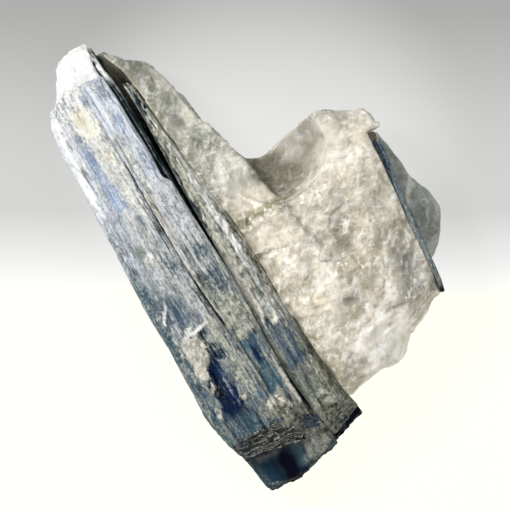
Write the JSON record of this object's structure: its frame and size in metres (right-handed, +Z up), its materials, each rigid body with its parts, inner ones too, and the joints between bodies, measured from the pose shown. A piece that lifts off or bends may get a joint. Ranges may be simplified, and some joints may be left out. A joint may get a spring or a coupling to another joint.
{
  "type": "kyanite blade cluster",
  "caption": "Mineral specimen of flat blue and white kyanite blades grown side by side against a lump of milky quartz, lying on its back.",
  "frame": {"origin": "under the middle of the specimen's box, on the plane that it rests on", "axes": "+Y along the blades to the chalky end, +X from the blades to the quartz, +Z up from the back that it lies on"},
  "size_m": [0.0598, 0.0937, 0.0193],
  "materials": {
    "streaked_kyanite": "blue and lavender grey, streaked lengthwise, satin",
    "pale_streaked_kyanite": "pale blue grey, streaked lengthwise, satin",
    "chalky_kyanite": "chalky white, matt",
    "deep_blue_kyanite": "deep blue, glossy",
    "navy_kyanite": "navy, glossy",
    "grey_green_kyanite": "grey green, ribbed, satin",
    "milky_quartz": "milky white, broken and sparkling",
    "edge_kyanite": "blue, glossy",
    "grey_quartz": "grey, glassy"
  },
  "bodies": {
    "root": {"broad_front_blade": "streaked_kyanite", "narrow_front_blade": "pale_streaked_kyanite", "white_tipped_blade": "chalky_kyanite", "lower_blade": "deep_blue_kyanite", "rear_blade": "navy_kyanite", "side_blade": "grey_green_kyanite", "quartz_matrix": "milky_quartz", "edge_blade": "edge_kyanite", "quartz_lobe": "grey_quartz"}
  },
  "joints": []
}
